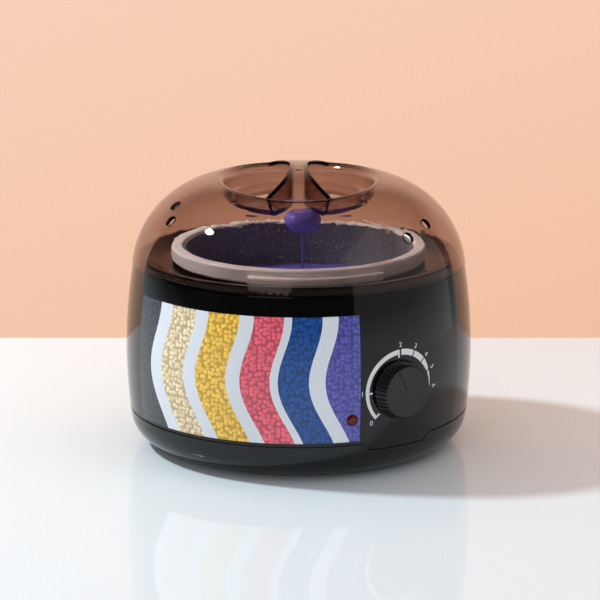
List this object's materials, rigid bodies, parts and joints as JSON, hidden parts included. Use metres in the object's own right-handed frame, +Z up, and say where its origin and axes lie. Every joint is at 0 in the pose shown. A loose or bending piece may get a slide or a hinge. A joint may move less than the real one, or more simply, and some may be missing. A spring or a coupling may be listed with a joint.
{
  "type": "pot wax heater",
  "caption": "Round benchtop hard wax heater with a removable wax pot, a smoked dome lid with finger wells, a dial knob and a pilot lamp.",
  "frame": {"origin": "centre of the round footprint on the table, under the feet", "axes": "+Z up, -Y towards the user, who faces the label; the knob is to the right of the label"},
  "size_m": [0.179, 0.1793, 0.145],
  "materials": {
    "black_shell": "high-gloss black ABS",
    "label_print": "printed vinyl label under clear laminate",
    "aluminium": "spun aluminium",
    "heater_steel": "mica heating band in a steel sheath",
    "steel": "zinc-plated steel",
    "copper": "drawn copper",
    "ceramic_body": "unglazed steatite",
    "brass": "plated brass",
    "red_lens": "transparent red acrylic",
    "lamp_glass": "neon lamp glass",
    "white_plastic": "natural nylon",
    "lead_red": "silicone-insulated lead",
    "lead_black": "silicone-insulated lead",
    "rubber": "moulded rubber",
    "knob_black": "fine satin black ABS",
    "pot_coating": "dark non-stick coating on aluminium",
    "collar_grey": "pale warm-grey heat-resistant nylon",
    "purple_wax": "glossy hard wax",
    "smoked_lid": "smoked transparent polycarbonate"
  },
  "bodies": {
    "housing": {"base_cup": "black_shell", "body_shell": "black_shell", "label": "label_print", "heating_well": "aluminium", "heat_shield": "aluminium", "band_heater": "heater_steel", "clamp_band": "steel", "clamp_screw": "steel", "thermal_fuse": "steel", "sensing_bulb": "copper", "fuse_clip": "aluminium", "bulb_clip": "steel", "thermostat_body": "ceramic_body", "thermostat_nut": "brass", "pilot_lens": "red_lens", "pilot_lamp": "lamp_glass", "terminal_block": "white_plastic", "lead_live": "lead_red", "lead_heater": "lead_red", "lead_neutral": "lead_black", "lead_fuse": "lead_black", "lamp_lead": "lead_black", "cord_gland": "rubber", "cord_clamp": "white_plastic", "cord_clamp_screws": "steel", "housing_screws": "steel", "well_screws": "steel", "rubber_foot_1": "rubber", "rubber_foot_2": "rubber", "rubber_foot_3": "rubber", "rubber_foot_4": "rubber"},
    "knob": {"control_knob": "knob_black", "thermostat_shaft": "steel", "knob_spring": "steel"},
    "pot": {"wax_pot": "pot_coating", "pot_collar": "collar_grey", "wax_charge": "purple_wax"},
    "lid": {"lid_shell": "smoked_lid", "wax_drip": "purple_wax"}
  },
  "joints": [
    {"name": "knob_turn", "type": "hinge", "parent": "housing", "child": "knob", "pos_m": [0.05027, -0.07453, 0.0465], "axis": [-0.5592, 0.829, 0], "range_deg": [-106, 124]},
    {"name": "pot_lift", "type": "slide", "parent": "housing", "child": "pot", "axis": [0, 0, 1], "range_m": [0, 0.09]},
    {"name": "lid_lift", "type": "slide", "parent": "pot", "child": "lid", "axis": [0, 0, 1], "range_m": [0, 0.12]}
  ]
}
